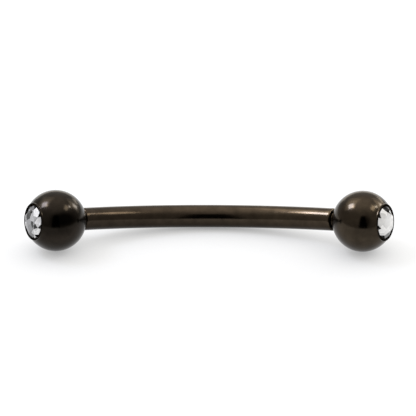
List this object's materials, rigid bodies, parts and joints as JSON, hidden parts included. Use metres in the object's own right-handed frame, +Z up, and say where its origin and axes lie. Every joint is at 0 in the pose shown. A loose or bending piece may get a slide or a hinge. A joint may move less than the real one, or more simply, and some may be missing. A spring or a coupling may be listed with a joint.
{
  "type": "snake eyes tongue barbell",
  "caption": "Curved tongue barbell in polished black steel: a bent bar with a screw-on ball at each end, and a clear round-cut crystal in a raised rim on the outer side of each ball.",
  "frame": {"origin": "on the surface that the barbell lies on, midway between the crystals and midway from front to back", "axes": "+X along the straight line between the balls, +Z up, -Y towards the side that the ends of the bar bend to"},
  "size_m": [0.0242, 0.0058, 0.004],
  "materials": {
    "black_steel": "polished",
    "crystal": "gloss"
  },
  "bodies": {
    "shank": {"bar": "black_steel"},
    "end_left": {"ball_left": "black_steel", "crystal_left": "crystal"},
    "end_right": {"ball_right": "black_steel", "crystal_right": "crystal"}
  },
  "joints": [
    {"name": "unscrew_left", "type": "slide", "parent": "shank", "child": "end_left", "axis": [-0.8638, -0.4652, 0.1934], "range_m": [0, 0.0015]},
    {"name": "unscrew_right", "type": "slide", "parent": "shank", "child": "end_right", "axis": [0.8638, -0.4652, 0.1934], "range_m": [0, 0.0015]}
  ]
}
